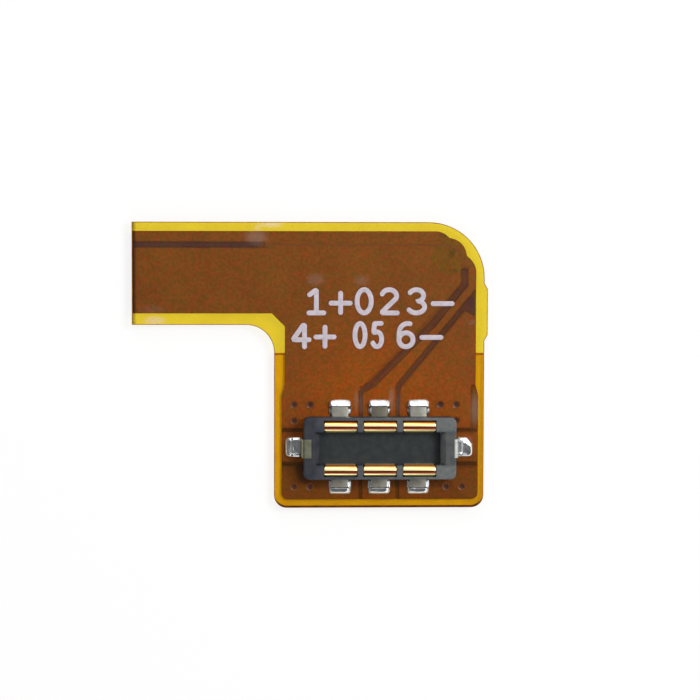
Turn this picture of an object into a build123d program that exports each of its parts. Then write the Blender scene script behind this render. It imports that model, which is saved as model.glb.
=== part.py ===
from build123d import *
import os

# Battery lead of a phone: a two-layer flex circuit with a six-contact board connector soldered on.
# It lies on its stiffener. +X runs along the strip towards the connector end, +Y runs up that end.
# The origin is under the middle of the outline, on the surface that the stiffener rests on.

os.makedirs("parts", exist_ok=True)

# Outline of the flex
head_side_margin = 1.16
connector_from_top = 8.99
connector_from_bottom = 2.44
strip_length = 5.66
strip_width = 4.09
outer_corner_radius = 2.24
inner_corner_radius = 1.12
end_corner_radius = 0.50
tab_depth = 0.13
tab_length = 2.28
tab_slope = 0.22
tab_from_top = 2.44

# Thickness of each layer, from the bottom up
stiffener_thickness = 0.25
adhesive_thickness = 0.03
cover_thickness = 0.03
copper_thickness = 0.035
base_thickness = 0.025
bond_line = 0.003
stiffener_height = 6.19

# Copper: how far it stays inside the outline, and what is etched away
inset_top = 0.36
inset_right = 0.33
inset_left = 0.42
inset_strip = 0.45
inset_bottom = 0.33
inset_lands_left = 0.30
inset_lands_right = 0.225
lands_height = 2.27
lands_slope = 0.44
inner_corner_chamfer = 0.52
lower_corner_radius = 0.25
plane_edge_step = 0.30
track_width = 0.42
track_width_side = 0.35
track_gap = 0.24
wide_gap = 0.30
fine_gap = 0.03
fine_gap_from_head = 0.38
land_gap = 0.16
track_corner_radius = 1.00
track_turn_from_top = 2.48
fine_gap_end_from_top = 1.84
track_bend_from_corner = (2.05, 4.05)
track_foot = (-0.28, 2.51)
second_gap_from_top = 2.51
second_gap_foot = (0.80, 2.50)
gap_flare_from_corner = (0.90, 3.48)
gap_flare_end_from_top = 3.92
copper_corner_chamfer = 1.34
copper_corner_radius = 0.70
corner_pad_radius = 0.76
corner_pad_from_corner = (1.47, 1.38)
middle_half_width = 0.74
anchor_half_height = 0.68
back_track_clearance = 0.21
back_track_shift = 1.20

# Plated vias. They are so small and so many that each is drawn with a few straight sides
via_diameter = 0.20
via_sides = 12
barrel_wall = 0.025
dimple_diameter = 0.32
dimple_depth = 0.024
via_pitch = 0.64
via_beyond_housing_left = 0.36
via_beyond_housing_right = 0.06
via_row_upper = 1.70
via_row_lower = -1.60
lower_right_via_shift = 0.24
hidden_via_y = -0.45
film_groove_depth = 0.008
film_groove_inset = 0.03

# Connector housing
housing_length = 6.08
housing_width = 2.46
housing_height = 0.78
housing_corner_radius = 0.22
housing_edge_chamfer = 0.05
well_length = 4.84
well_floor = 0.20
well_corner_radius = 0.08
well_lead_in = 0.20
slot_clearance = 0.01

# Contacts
contact_pitch = 1.57
contact_width = 1.32
contact_thickness = 0.10
contact_proud = 0.02
crown_wall = 0.108
crown_width = 0.476
crown_groove_radius = 0.052
crown_groove_depth = 0.062
tail_width = 0.66
tail_reach = 0.37
tail_bend_radius = 0.11
tail_shoulder = 0.30

# Hold-down clips at the two end walls
clip_thickness = 0.08
clip_width = 0.74
clip_foot_width = 0.52
clip_foot_length = 0.42
clip_bend_radius = 0.09
clip_reach_left = 0.34
clip_reach_right = 0.12

# Solder joints
solder_width = 0.90
solder_reach = 0.68
solder_rim = 0.07
solder_corner_cut = 0.10
solder_edge_cut = 0.06
solder_wall_gap = 0.01
anchor_solder_width = 0.80
anchor_solder_reach = 0.72

# Places that follow from the driving dimensions
head_width = housing_length + 2 * head_side_margin
head_height = connector_from_top + connector_from_bottom
crown_y = housing_width / 2 - crown_wall - crown_width / 2
tail_end = housing_width / 2 + tail_reach
solder_end = housing_width / 2 + solder_reach
anchor_solder_end = housing_length / 2 + anchor_solder_reach
via_column_left = -housing_length / 2 - via_beyond_housing_left
via_column_right = housing_length / 2 + via_beyond_housing_right
overall_length = strip_length + head_width + tab_depth
x_cut = -overall_length / 2
x_head = x_cut + strip_length
x_right = x_head + head_width
y_top = head_height / 2
y_bottom = -head_height / 2
y_strip = y_top - strip_width
centre_x = x_head + head_width / 2
centre_y = y_bottom + connector_from_bottom
y_lands = centre_y + lands_height

z_adhesive = stiffener_thickness
z_back_cover = z_adhesive + adhesive_thickness
z_back_copper = z_back_cover + cover_thickness
z_base = z_back_copper + copper_thickness
z_copper = z_base + base_thickness
z_cover = z_copper + copper_thickness
z_face = z_cover + cover_thickness
z_housing = z_face + housing_height

copper_top = y_top - inset_top
copper_right = x_right - inset_right
copper_left = x_head + inset_left
copper_strip = y_strip + inset_strip
copper_bottom = y_bottom + inset_bottom
lands_left = x_head + inset_lands_left
lands_right = x_right - inset_lands_right

contact_places = [(row, column) for row in (1, -1) for column in (-1, 0, 1)]


def near(x, y):
    """A point given from the connector's centre."""
    return (centre_x + x, centre_y + y)


def from_corner(x, y):
    """A point given from the square corner at the upper right, inwards."""
    return (x_right - x, y_top - y)


def corner(sketch, x, y):
    """The vertex of a sketch in hand that lies nearest to a point."""
    return sketch.vertices().sort_by_distance((x, y))[0]


def flex_outline():
    """The L-shaped outline that every film is cut to, with its break-off tab."""
    with BuildSketch() as outline:
        with Locations((centre_x, 0)):
            Rectangle(head_width, head_height)
        with Locations(((x_cut + x_head) / 2, y_top - strip_width / 2)):
            Rectangle(strip_length, strip_width)
        fillet(corner(outline, x_right, y_top), outer_corner_radius)
        fillet(corner(outline, x_head, y_strip), inner_corner_radius)
        fillet(corner(outline, x_right, y_bottom), end_corner_radius)
        fillet(corner(outline, x_head, y_bottom), end_corner_radius)
        tab_top = y_top - tab_from_top
        with BuildLine():
            Polyline(
                (x_right, tab_top),
                (x_right + tab_depth, tab_top - tab_slope),
                (x_right + tab_depth, tab_top - tab_length + tab_slope),
                (x_right, tab_top - tab_length),
                close=True,
            )
        make_face()
    return outline.sketch


def head_outline():
    """The part of the outline that the stiffener backs."""
    with BuildSketch() as head:
        add(flex_outline())
        with Locations((centre_x, y_bottom + stiffener_height / 2)):
            Rectangle(2 * head_width, stiffener_height, mode=Mode.INTERSECT)
    return head.sketch


def copper_outline():
    """Where copper may lie: inside the film's outline, flush at the strip's cut end."""
    with BuildSketch() as copper:
        plane_width = copper_right - copper_left
        with Locations(((copper_left + copper_right) / 2, (copper_top + copper_bottom) / 2)):
            Rectangle(plane_width, copper_top - copper_bottom)
        with Locations(((x_cut + copper_left) / 2, (copper_top + copper_strip) / 2)):
            Rectangle(copper_left - x_cut, copper_top - copper_strip)
        with BuildLine():
            Polyline(
                (lands_left, copper_bottom),
                (lands_left, y_lands - lands_slope / 2),
                (copper_left, y_lands + lands_slope / 2),
                (copper_right, y_lands + lands_slope / 2),
                (lands_right, y_lands - lands_slope / 2),
                (lands_right, copper_bottom),
                close=True,
            )
        make_face()
        chamfer(corner(copper, copper_right, copper_top), copper_corner_chamfer)
        fillet(corner(copper, copper_right - copper_corner_chamfer, copper_top), copper_corner_radius)
        fillet(corner(copper, copper_right, copper_top - copper_corner_chamfer), copper_corner_radius)
        chamfer(corner(copper, copper_left, copper_strip), inner_corner_chamfer)
        for x in (lands_left, lands_right):
            fillet(corner(copper, x, copper_bottom), lower_corner_radius)
        with Locations(from_corner(*corner_pad_from_corner)):
            Circle(corner_pad_radius)
    return copper.sketch


def stroke(points, width, radius=None):
    """A band of the given width along a line through the points."""
    with BuildSketch() as band:
        with BuildLine():
            if radius:
                FilletPolyline(*points, radius=radius)
            else:
                Polyline(*points)
        trace(line_width=width)
    return band.sketch


def gap_flare():
    """The wedge that the second gap opens into at the copper's right edge."""
    edge_x = copper_right + track_gap
    with BuildSketch() as wedge:
        with BuildLine():
            Polyline(
                from_corner(*gap_flare_from_corner),
                (edge_x, y_top - second_gap_from_top),
                (edge_x, y_top - gap_flare_end_from_top),
                close=True,
            )
        make_face()
    return wedge.sketch


def etched_gaps(narrower=0.0):
    """What is etched out of the top copper, in plan, as one list of bands."""
    line_y = copper_top - track_width - track_gap / 2
    line_x = copper_right - track_width_side - track_gap / 2
    fine_start = (x_head - fine_gap_from_head, line_y)
    fine_end = (line_x, y_top - fine_gap_end_from_top)
    turn = (line_x, y_top - track_turn_from_top)
    bend = from_corner(*track_bend_from_corner)
    second_start = (copper_right + track_gap, y_top - second_gap_from_top)
    left_foot = near(-middle_half_width, lands_height)
    right_foot = near(middle_half_width, lands_height)
    bottom = y_bottom - centre_y
    side = head_width
    bands = [
        stroke([(x_cut - track_gap, line_y), fine_start], track_gap - narrower),
        stroke([fine_end, turn, bend, near(*track_foot), left_foot], wide_gap - narrower),
        stroke([second_start, near(*second_gap_foot), right_foot], track_gap - narrower),
        gap_flare(),
        stroke([left_foot, near(-middle_half_width, bottom)], land_gap - narrower),
        stroke([right_foot, near(middle_half_width, bottom)], land_gap - narrower),
    ]
    for y in (anchor_half_height, -anchor_half_height):
        bands.append(stroke([near(-side, y), near(-middle_half_width, y)], land_gap - narrower))
        bands.append(stroke([near(side, y), near(middle_half_width, y)], land_gap - narrower))
    bands.append(stroke([near(-middle_half_width, 0), near(middle_half_width, 0)], land_gap - narrower))
    return bands


def fine_line():
    """The hairline that carries the track's edge along the strip and round the corner."""
    line_y = copper_top - track_width - track_gap / 2
    line_x = copper_right - track_width_side - track_gap / 2
    corner = (line_x, line_y)
    points = [(x_head - fine_gap_from_head, line_y), corner, (line_x, y_top - fine_gap_end_from_top)]
    return stroke(points, fine_gap, radius=min(track_corner_radius, line_y - points[2][1] - fine_gap))


def film_vias():
    """Centres of the vias that show through the cover film."""
    left = [(0, via_row_upper), (via_pitch, via_row_upper), (0, via_row_upper - via_pitch)]
    left += [(0, via_row_lower), (via_pitch, via_row_lower)]
    right = [(0, via_row_upper), (-via_pitch, via_row_upper), (0, via_row_upper - via_pitch)]
    right += [(lower_right_via_shift, via_row_lower), (lower_right_via_shift - via_pitch, via_row_lower)]
    places = [near(via_column_left + x, y) for x, y in left]
    return places + [near(via_column_right + x, y) for x, y in right]


all_vias = film_vias() + [near(0, hidden_via_y)]


def drill(diameter, mode=Mode.SUBTRACT):
    """A hole, or a disc, at each via of the sketch in hand."""
    with Locations(*all_vias):
        RegularPolygon(diameter / 2, via_sides, mode=mode)


def island(sheet, x, y):
    """The piece of an etched sheet that lies at a point given from the connector's centre."""
    probe = (*near(x, y), z_base)
    return sheet.part.solids().sort_by_distance(probe)[0]


# Flex: base film and the two etched copper sheets. A bond line of glue lies between film and copper

with BuildPart() as base_film:
    with BuildSketch(Plane.XY.offset(z_base + bond_line)):
        add(flex_outline())
        drill(via_diameter)
    extrude(amount=base_thickness - 2 * bond_line)

with BuildPart() as top_sheet:
    with BuildSketch(Plane.XY.offset(z_copper)):
        add(copper_outline())
        for band in etched_gaps():
            add(band, mode=Mode.SUBTRACT)
        add(fine_line(), mode=Mode.SUBTRACT)
        step_low = centre_y + anchor_half_height
        step_high = y_lands + lands_slope / 2
        with Locations((lands_right, (step_low + step_high) / 2)):
            Rectangle(2 * plane_edge_step, step_high - step_low, mode=Mode.SUBTRACT)
        drill(via_diameter)
    extrude(amount=copper_thickness)

with BuildPart() as back_sheet:
    track_y = copper_strip + track_width / 2
    via_x, via_y = near(0, hidden_via_y)
    side_x = via_x + via_column_left + via_pitch + back_track_clearance + track_width / 2 + track_gap
    route = [
        (via_x, y_bottom),
        (via_x, via_y),
        (side_x, via_y),
        (side_x, track_y - back_track_shift),
        (side_x - back_track_shift, track_y),
        (x_cut - track_gap, track_y),
    ]
    with BuildSketch(Plane.XY.offset(z_back_copper)):
        add(copper_outline())
        add(stroke(route, track_width + 2 * track_gap), mode=Mode.SUBTRACT)
        drill(via_diameter)
    extrude(amount=copper_thickness)

with BuildPart() as back_copper_sense:
    with BuildSketch(Plane.XY.offset(z_back_copper)):
        add(stroke(route, track_width))
        add(copper_outline(), mode=Mode.INTERSECT)
        drill(via_diameter)
    extrude(amount=copper_thickness)

upper_pad = (housing_width / 2 + solder_end) / 2
anchor_pad = (housing_length / 2 + anchor_solder_end) / 2
top_islands = {
    "copper_positive": (-contact_pitch, upper_pad),
    "copper_sense": (0, upper_pad),
    "copper_negative": (contact_pitch, upper_pad),
    "copper_positive_lower": (-contact_pitch, -upper_pad),
    "copper_sense_lower": (0, -upper_pad),
    "copper_negative_lower": (contact_pitch, -upper_pad),
    "copper_anchor_left": (-anchor_pad, 0),
    "copper_anchor_right": (anchor_pad, 0),
}
back_islands = {
    "back_copper_positive": (-anchor_pad, 0),
    "back_copper_negative": (anchor_pad, 0),
}

copper_pieces = {}
for sheet, islands in ((top_sheet, top_islands), (back_sheet, back_islands)):
    for piece_name, (x, y) in islands.items():
        with BuildPart() as copper_piece:
            add(island(sheet, x, y))
        copper_pieces[piece_name] = copper_piece
copper_pieces["back_copper_sense"] = back_copper_sense

with BuildPart() as via_barrels:
    with BuildSketch(Plane.XY.offset(z_back_copper)):
        drill(via_diameter, mode=Mode.ADD)
        drill(via_diameter - 2 * barrel_wall)
    extrude(amount=z_cover - z_back_copper)

# Contacts, folded from strip: tail on the land, up the wall, over it and down into the well

contacts = []
for row, column in contact_places:
    across = row * (crown_width - contact_thickness) / 2
    crown_top = z_housing + contact_proud
    tail_z = z_face + contact_thickness / 2
    fold_radius = crown_width / 2 - contact_thickness / 2 - bond_line
    place = Plane(origin=(*near(column * contact_pitch, 0), 0), x_dir=(0, 1, 0), z_dir=(1, 0, 0))
    with BuildPart() as contact:
        with BuildSketch(place):
            with BuildLine():
                FilletPolyline(
                    (row * tail_end, tail_z),
                    (row * crown_y + across, tail_z),
                    (row * crown_y + across, crown_top - contact_thickness / 2),
                    (row * crown_y - across, crown_top - contact_thickness / 2),
                    (row * crown_y - across, z_face + well_floor),
                    radius=[tail_bend_radius, fold_radius, fold_radius],
                )
            trace(line_width=contact_thickness)
            with Locations((row * crown_y, crown_top - crown_groove_depth + crown_groove_radius)):
                Circle(crown_groove_radius, mode=Mode.SUBTRACT)
        extrude(amount=contact_width / 2, both=True)
        trim = (contact_width - tail_width) / 2
        trim_y = row * (crown_y + tail_end) / 2
        for side in (-1, 1):
            trim_x = column * contact_pitch + side * (tail_width + trim) / 2
            with Locations((*near(trim_x, trim_y), z_face)):
                Box(trim, tail_end - crown_y + contact_thickness, 2 * tail_shoulder, mode=Mode.SUBTRACT)
    contacts.append(contact)

# Hold-down clips: a foot on the land, a riser outside the end wall and a tab over its top

clips = []
for side, reach in ((-1, clip_reach_left), (1, clip_reach_right)):
    riser_x = side * (housing_length + clip_thickness) / 2
    foot_z = z_face + clip_thickness / 2
    tab_z = z_housing - clip_thickness / 2
    section = Plane(origin=(centre_x, centre_y, 0), x_dir=(1, 0, 0), z_dir=(0, -1, 0))
    with BuildPart() as clip:
        with BuildSketch(section):
            with BuildLine():
                FilletPolyline(
                    (riser_x + side * clip_foot_length, foot_z),
                    (riser_x, foot_z),
                    (riser_x, tab_z),
                    (riser_x - side * reach, tab_z),
                    radius=clip_bend_radius,
                )
            trace(line_width=clip_thickness)
        extrude(amount=clip_width / 2, both=True)
        foot_x = riser_x + side * (clip_foot_length + clip_thickness) / 2
        trim = (clip_width - clip_foot_width) / 2
        for edge in (-1, 1):
            with Locations((*near(foot_x, edge * (clip_foot_width + trim) / 2), z_face)):
                Box(clip_foot_length, trim, 4 * clip_thickness, mode=Mode.SUBTRACT)
    clips.append(clip)

# Housing, moulded round the contacts

with BuildPart() as connector_housing:
    well_half_width = crown_y - crown_width / 2 + contact_proud
    with BuildSketch(Plane.XY.offset(z_face)):
        with Locations(near(0, 0)):
            RectangleRounded(housing_length, housing_width, housing_corner_radius)
    extrude(amount=housing_height)
    chamfer(connector_housing.faces().sort_by(Axis.Z)[-1].edges(), housing_edge_chamfer)
    with BuildSketch(Plane.XY.offset(z_face + well_floor)):
        with Locations(near(0, 0)):
            RectangleRounded(well_length, 2 * well_half_width, well_corner_radius)
    extrude(amount=housing_height, mode=Mode.SUBTRACT)
    wedge = Plane(origin=(centre_x, centre_y, 0), x_dir=(1, 0, 0), z_dir=(0, -1, 0))
    with BuildSketch(wedge):
        for side in (-1, 1):
            with BuildLine():
                Polyline(
                    (side * well_length / 2, z_housing - well_lead_in),
                    (side * (well_length / 2 + well_lead_in), z_housing),
                    (side * well_length / 2, z_housing),
                    close=True,
                )
            make_face()
    extrude(amount=well_half_width, both=True, mode=Mode.SUBTRACT)
    slot_depth = crown_width / 2 - contact_proud
    for row, column in contact_places:
        slot_y = row * crown_y
        with Locations((*near(column * contact_pitch, slot_y), z_housing)):
            Box(
                contact_width + 2 * slot_clearance,
                crown_width + 2 * slot_clearance,
                2 * slot_depth,
                mode=Mode.SUBTRACT,
            )
    for piece in contacts + clips:
        add(piece.part, mode=Mode.SUBTRACT)

# Cover films. The glue of each one fills the etched gaps, so each is cast round the copper

window_length = solder_end - housing_width / 2 - solder_wall_gap
window_y = housing_width / 2 + solder_wall_gap + window_length / 2
anchor_window_length = anchor_solder_end - housing_length / 2 - solder_wall_gap
anchor_window_x = housing_length / 2 + solder_wall_gap + anchor_window_length / 2


def solder_windows():
    """The openings in the top cover film, one at each solder joint."""
    with BuildSketch() as windows:
        with Locations(*[near(column * contact_pitch, row * window_y) for row, column in contact_places]):
            Rectangle(solder_width, window_length)
        with Locations(near(-anchor_window_x, 0), near(anchor_window_x, 0)):
            Rectangle(anchor_window_length, anchor_solder_width)
        chamfer(windows.vertices(), solder_corner_cut)
    return windows.sketch


with BuildPart() as dimple:
    with BuildSketch(Plane.XY.offset(z_face)):
        RegularPolygon(dimple_diameter / 2, via_sides)
    with BuildSketch(Plane.XY.offset(z_face - dimple_depth)):
        RegularPolygon(dimple_diameter / 4, via_sides)
    loft()


with BuildPart() as top_cover_film:
    with BuildSketch(Plane.XY.offset(z_copper + bond_line)):
        add(flex_outline())
        add(solder_windows(), mode=Mode.SUBTRACT)
    extrude(amount=z_face - z_copper - bond_line)
    with BuildSketch(Plane.XY.offset(z_copper + bond_line)):
        add(copper_outline())
        for band in etched_gaps():
            add(band, mode=Mode.SUBTRACT)
        add(fine_line(), mode=Mode.SUBTRACT)
    extrude(amount=copper_thickness, mode=Mode.SUBTRACT)
    with BuildSketch(Plane.XY.offset(z_face - film_groove_depth)):
        for band in etched_gaps(narrower=2 * film_groove_inset):
            add(band)
        add(copper_outline(), mode=Mode.INTERSECT)
        with Locations(near(0, 0)):
            Rectangle(housing_length, housing_width, mode=Mode.SUBTRACT)
    extrude(amount=cover_thickness, mode=Mode.SUBTRACT)
    with Locations(*film_vias()):
        add(dimple.part, mode=Mode.SUBTRACT)

with BuildPart() as back_cover_film:
    with BuildSketch(Plane.XY.offset(z_back_cover)):
        add(flex_outline())
    extrude(amount=cover_thickness + copper_thickness - bond_line)
    with BuildSketch(Plane.XY.offset(z_back_copper - bond_line)):
        add(copper_outline())
        add(stroke(route, track_width + 2 * track_gap), mode=Mode.SUBTRACT)
    extrude(amount=copper_thickness + bond_line, mode=Mode.SUBTRACT)
    with BuildSketch(Plane.XY.offset(z_back_copper - bond_line)):
        add(stroke(route, track_width))
        add(copper_outline(), mode=Mode.INTERSECT)
    extrude(amount=copper_thickness + bond_line, mode=Mode.SUBTRACT)

# Stiffener and the adhesive sheet that holds it

with BuildPart() as stiffener_adhesive:
    with BuildSketch(Plane.XY.offset(z_adhesive)):
        add(head_outline())
    extrude(amount=adhesive_thickness - bond_line)

with BuildPart() as stiffener:
    with BuildSketch():
        add(head_outline())
    extrude(amount=stiffener_thickness)

# Solder joints: each fills its window and wraps the end of its tail or foot


def solder_joint(x, y, length_x, length_y, metal, open_top):
    """A mound with cut edges on a land, with the metal that it holds and the space over that left free."""
    with BuildPart() as joint:
        with BuildSketch(Plane.XY.offset(z_cover)):
            with Locations(near(x, y)):
                plan = Rectangle(length_x, length_y)
            chamfer(plan.vertices(), solder_corner_cut)
        extrude(amount=cover_thickness + contact_thickness + solder_rim)
        chamfer(joint.faces().sort_by(Axis.Z)[-1].edges(), solder_edge_cut)
        add(open_top, mode=Mode.SUBTRACT)
        add(metal.part, mode=Mode.SUBTRACT)
    return joint


solder_joints = {}
for number, (row, column) in enumerate(contact_places, start=1):
    tail_length = tail_end - housing_width / 2
    with BuildPart() as tail_space:
        tail_y = row * (housing_width / 2 + tail_length / 2)
        with Locations((*near(column * contact_pitch, tail_y), z_face + contact_thickness)):
            Box(tail_width, tail_length, 2 * contact_thickness)
    solder_joints[f"solder_{number}"] = solder_joint(
        column * contact_pitch,
        row * window_y,
        solder_width,
        window_length,
        contacts[number - 1],
        tail_space.part,
    )
for side, clip in zip((-1, 1), clips):
    with BuildPart() as foot_space:
        foot_x = side * (housing_length + clip_foot_length + clip_thickness) / 2
        with Locations((*near(foot_x, 0), z_face + contact_thickness)):
            Box(clip_foot_length, clip_foot_width, 2 * contact_thickness)
    solder_joints["solder_left" if side < 0 else "solder_right"] = solder_joint(
        side * anchor_window_x,
        0,
        anchor_window_length,
        anchor_solder_width,
        clip,
        foot_space.part,
    )

# Every piece under its own name

pieces = {
    "base_film": base_film,
    "top_cover_film": top_cover_film,
    "back_cover_film": back_cover_film,
    "stiffener": stiffener,
    "stiffener_adhesive": stiffener_adhesive,
    "via_barrels": via_barrels,
    "connector_housing": connector_housing,
    "clip_left": clips[0],
    "clip_right": clips[1],
}
pieces.update(copper_pieces)
pieces.update({f"contact_{number}": contact for number, contact in enumerate(contacts, start=1)})
pieces.update(solder_joints)

for piece_name, piece in pieces.items():
    piece.part.label = piece_name
    export_step(piece.part, f"parts/{piece_name}.step")
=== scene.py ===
import math
import bpy
import bmesh
import numpy as np
from mathutils import Matrix, Vector


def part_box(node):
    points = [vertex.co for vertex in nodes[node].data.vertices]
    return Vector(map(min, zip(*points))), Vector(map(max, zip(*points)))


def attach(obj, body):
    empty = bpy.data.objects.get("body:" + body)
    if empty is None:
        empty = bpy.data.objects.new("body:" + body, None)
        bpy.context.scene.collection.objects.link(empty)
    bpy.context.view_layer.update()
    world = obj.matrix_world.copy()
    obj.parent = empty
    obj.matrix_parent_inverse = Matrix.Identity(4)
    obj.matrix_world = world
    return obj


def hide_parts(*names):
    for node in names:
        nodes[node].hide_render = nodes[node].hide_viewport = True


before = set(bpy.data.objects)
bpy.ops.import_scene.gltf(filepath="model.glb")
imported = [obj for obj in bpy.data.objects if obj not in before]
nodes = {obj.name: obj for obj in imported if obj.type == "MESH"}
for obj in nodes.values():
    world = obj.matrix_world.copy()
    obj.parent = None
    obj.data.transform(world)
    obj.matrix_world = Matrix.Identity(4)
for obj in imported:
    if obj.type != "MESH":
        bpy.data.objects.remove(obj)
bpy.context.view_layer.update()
mm = 0.001
print("frame: %d nodes" % len(nodes))


def boxMm(name):
    low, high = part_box(name)
    return np.array(low) / mm, np.array(high) / mm


filmLow, filmHigh = boxMm("top_cover_film")
housingLow, housingHigh = boxMm("connector_housing")
padTop = boxMm("stiffener")[1][1]  # upper edge of the stiffener
faceZ = housingLow[2]  # upper face of the cover film
backZ = boxMm("back_cover_film")[0][2]  # lower face of the back cover film
connectorX, connectorY = (housingLow[:2] + housingHigh[:2]) / 2
photoSetup = {"centre": (379.0, 446.7), "pixelMm": 0.04}  # the connector's centre and the photograph's scale


# Camera: over the flex, a little towards the strip and the upper edge
cameraSetup = {
    "place": (-3.1955, 7.4451, 100.0),  # mm from the part's origin
    "turn": (-0.0684, -0.0480, 0.0029),  # radians about x, y and the view's own axis
    "focalPixels": 2501.4,
    "framePixels": 700,
    "sensor": 36.0,
    "clipStart": 0.001,
}


def addCamera(setup):
    data = bpy.data.cameras.new("camera")
    data.sensor_width = setup["sensor"]
    data.lens = setup["focalPixels"] / setup["framePixels"] * setup["sensor"]
    data.clip_start = setup["clipStart"]
    camera = bpy.data.objects.new("camera", data)
    bpy.context.scene.collection.objects.link(camera)
    aboutX, aboutY, roll = setup["turn"]
    turn = Matrix.Rotation(aboutY, 4, "Y") @ Matrix.Rotation(aboutX, 4, "X") @ Matrix.Rotation(roll, 4, "Z")
    camera.matrix_world = Matrix.Translation(Vector(setup["place"]) * mm) @ turn
    bpy.context.scene.camera = camera


# Light: a ring of soft light round a dark ceiling, with the brighter lamps at the upper right
lamps = {
    "keyLamp": {"place": (62, 34, 92), "size": 40, "watts": 0.068},
    "topLamp": {"place": (-14, 78, 58), "size": 50, "watts": 0.022},
    "leftLamp": {"place": (-76, -12, 54), "size": 50, "watts": 0.009, "inGloss": False},
    "frontLamp": {"place": (10, -78, 52), "size": 46, "watts": 0.0135, "inGloss": False},
}
skySetup = {
    "ambient": 0.44,  # strength of the sky as a light
    "ceiling": 0.10,  # what gloss sees of the dark ceiling
    "ceilingAxis": (-0.225, -0.378, 0.898),  # its middle, as a direction
    "ceilingEdge": (0.79, 0.885),  # cosines from its middle, where it ends and begins
    "ring": 0.95,  # what gloss sees elsewhere
    "leftShare": 0.16,  # how much of that is left at the far left
    "leftEdge": (-0.72, -0.12),  # where the left ends and begins, as the direction's x
}


def addNode(tree, kind, inputs=None, **settings):
    node = tree.nodes.new(kind)
    for key, value in settings.items():
        setattr(node, key, value)
    for key, value in (inputs or {}).items():
        if isinstance(value, bpy.types.NodeSocket):
            tree.links.new(value, node.inputs[key])
        else:
            node.inputs[key].default_value = value
    return node


def addMath(tree, operation, first, second, clamp=False):
    node = addNode(tree, "ShaderNodeMath", {0: first, 1: second}, operation=operation, use_clamp=clamp)
    return node.outputs[0]


def product(tree, *factors):
    result = factors[0]
    for factor in factors[1:]:
        result = addMath(tree, "MULTIPLY", result, factor)
    return result


# a vector's scale is the node's fourth input
def vectorMath(tree, operation, first, second=None, output="Vector"):
    inputs = {0: first}
    if second is not None:
        inputs[3 if operation == "SCALE" else 1] = second
    return addNode(tree, "ShaderNodeVectorMath", inputs, operation=operation).outputs[output]


def splitPlace(tree, coords):
    return addNode(tree, "ShaderNodeSeparateXYZ", {0: coords}).outputs


def mapRange(tree, value, source, target=(0.0, 1.0), kind="LINEAR"):
    return addNode(tree, "ShaderNodeMapRange", {
        "Value": value, "From Min": source[0], "From Max": source[1],
        "To Min": target[0], "To Max": target[1],
    }, interpolation_type=kind).outputs["Result"]


def easedRange(tree, value, source, target=(0.0, 1.0)):
    return mapRange(tree, value, source, target, "SMOOTHSTEP")


# an eased range whose two ends are given in mm past a base
def easedPast(tree, value, base, ends, target=(0.0, 1.0)):
    return easedRange(tree, value, [(base + end) * mm for end in ends], target)


def mixValue(tree, factor, first, second):
    return addNode(tree, "ShaderNodeMix", {"Factor": factor, "A": first, "B": second}).outputs[0]


def mixShader(tree, factor, first, second):
    return addNode(tree, "ShaderNodeMixShader", {0: factor, 1: first, 2: second}).outputs[0]


def diffuse(tree, colour):
    return addNode(tree, "ShaderNodeBsdfDiffuse", {"Color": colour}).outputs[0]


def startMaterial(name):
    material = bpy.data.materials.new(name)
    material.use_nodes = True
    tree = material.node_tree
    tree.nodes.clear()
    coords = addNode(tree, "ShaderNodeTexCoord").outputs["Object"]
    return material, tree, coords


def finishMaterial(material, tree, shader):
    addNode(tree, "ShaderNodeOutputMaterial", {"Surface": shader})
    return material


def addLamps():
    for name, lamp in lamps.items():
        data = bpy.data.lights.new(name, "AREA")
        data.energy = lamp["watts"]
        data.size = lamp["size"] * mm
        light = bpy.data.objects.new(name, data)
        light.visible_glossy = lamp.get("inGloss", True)
        bpy.context.scene.collection.objects.link(light)
        place = Vector(lamp["place"]) * mm
        light.matrix_world = Matrix.Translation(place) @ place.to_track_quat("Z", "Y").to_matrix().to_4x4()


def addSky(setup):
    world = bpy.data.worlds.new("sky")
    bpy.context.scene.world = world
    world.use_nodes = True
    tree = world.node_tree
    tree.nodes.clear()
    path = addNode(tree, "ShaderNodeLightPath").outputs
    direction = addNode(tree, "ShaderNodeTexCoord").outputs["Generated"]
    along = vectorMath(tree, "DOT_PRODUCT", direction, setup["ceilingAxis"], "Value")
    ring = easedRange(tree, splitPlace(tree, direction)["X"], setup["leftEdge"], (setup["leftShare"], 1.0))
    ring = product(tree, ring, setup["ring"])
    glossLevel = mixValue(tree, easedRange(tree, along, setup["ceilingEdge"]), ring, setup["ceiling"])
    light = mixValue(tree, path["Is Glossy Ray"], setup["ambient"], glossLevel)
    seen = addMath(tree, "MAXIMUM", path["Is Camera Ray"], path["Is Transmission Ray"])
    strength = mixValue(tree, seen, light, 1.0)
    background = addNode(tree, "ShaderNodeBackground", {"Color": (1, 1, 1, 1), "Strength": strength})
    addNode(tree, "ShaderNodeOutputWorld", {"Surface": background.outputs[0]})


# the floor glows for what is seen directly, mirrored or through the film, and keeps a share of its shadow
floorSetup = {"size": 1.6, "drop": 0.00001, "colour": (0.86, 0.86, 0.86, 1), "glowShare": 0.76, "glow": 1.03}


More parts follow.
